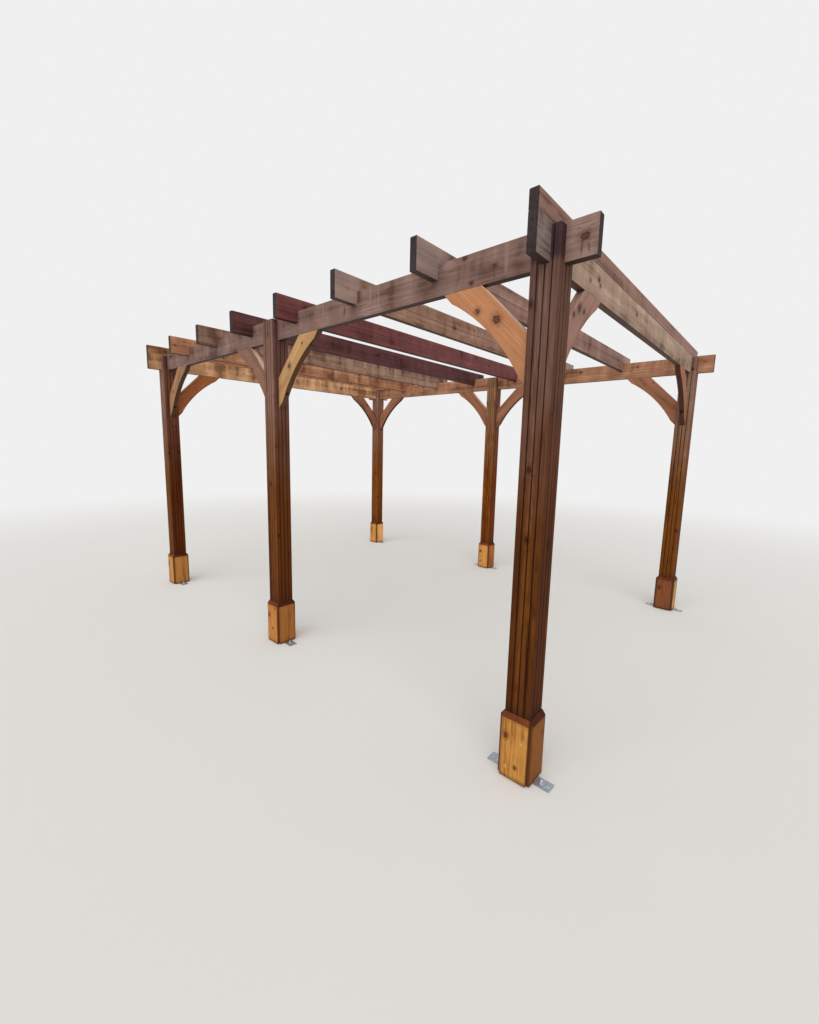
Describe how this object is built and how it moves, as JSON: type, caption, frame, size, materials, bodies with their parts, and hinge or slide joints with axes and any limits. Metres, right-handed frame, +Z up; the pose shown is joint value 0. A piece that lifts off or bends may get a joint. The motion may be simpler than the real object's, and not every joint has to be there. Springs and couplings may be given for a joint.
{
  "type": "garden pergola",
  "caption": "Open timber garden pergola with grooved posts, slotted post heads, halved beams, notched rafters, arched knee braces and bevelled post skirts on angle brackets.",
  "frame": {"origin": "on the ground in the middle of the plan of the six posts", "axes": "+X across the short side towards the back row, +Y along the long side towards the left end, +Z up"},
  "size_m": [3.25, 4.33, 2.3825],
  "materials": {
    "post_timber": "planed and grooved softwood, pressure treated, oiled red brown, weathered",
    "beam_timber": "planed softwood with eased edges, weathered brown",
    "rafter_timber": "planed softwood with eased edges, weathered brown",
    "brace_timber": "planed softwood, honey brown, knotty",
    "skirt_timber": "planed softwood boards, bright honey orange",
    "galvanised_steel": "hot-dip galvanised, dull and spangled"
  },
  "bodies": {
    "root": {"post_front_right": "post_timber", "post_front_middle": "post_timber", "post_front_left": "post_timber", "post_back_right": "post_timber", "post_back_middle": "post_timber", "post_back_left": "post_timber", "long_beam_front": "beam_timber", "long_beam_back": "beam_timber", "end_beam_right": "beam_timber", "end_beam_left": "beam_timber", "end_rail_right": "rafter_timber", "end_rail_left": "rafter_timber", "rafter_1": "rafter_timber", "rafter_2": "rafter_timber", "rafter_3": "rafter_timber", "rafter_4": "rafter_timber", "rafter_5": "rafter_timber", "rafter_6": "rafter_timber", "brace_front_right_to_left": "brace_timber", "brace_front_middle_to_right": "brace_timber", "brace_front_middle_to_left": "brace_timber", "brace_front_left_to_right": "brace_timber", "brace_front_right_across": "brace_timber", "brace_front_left_across": "brace_timber", "brace_back_right_to_left": "brace_timber", "brace_back_middle_to_right": "brace_timber", "brace_back_middle_to_left": "brace_timber", "brace_back_left_to_right": "brace_timber", "brace_back_right_across": "brace_timber", "brace_back_left_across": "brace_timber", "skirt_front_right": "skirt_timber", "skirt_front_middle": "skirt_timber", "skirt_front_left": "skirt_timber", "skirt_back_right": "skirt_timber", "skirt_back_middle": "skirt_timber", "skirt_back_left": "skirt_timber", "foot_brackets_front_right": "galvanised_steel", "foot_brackets_front_middle": "galvanised_steel", "foot_brackets_front_left": "galvanised_steel", "foot_brackets_back_right": "galvanised_steel", "foot_brackets_back_middle": "galvanised_steel", "foot_brackets_back_left": "galvanised_steel"}
  },
  "joints": []
}
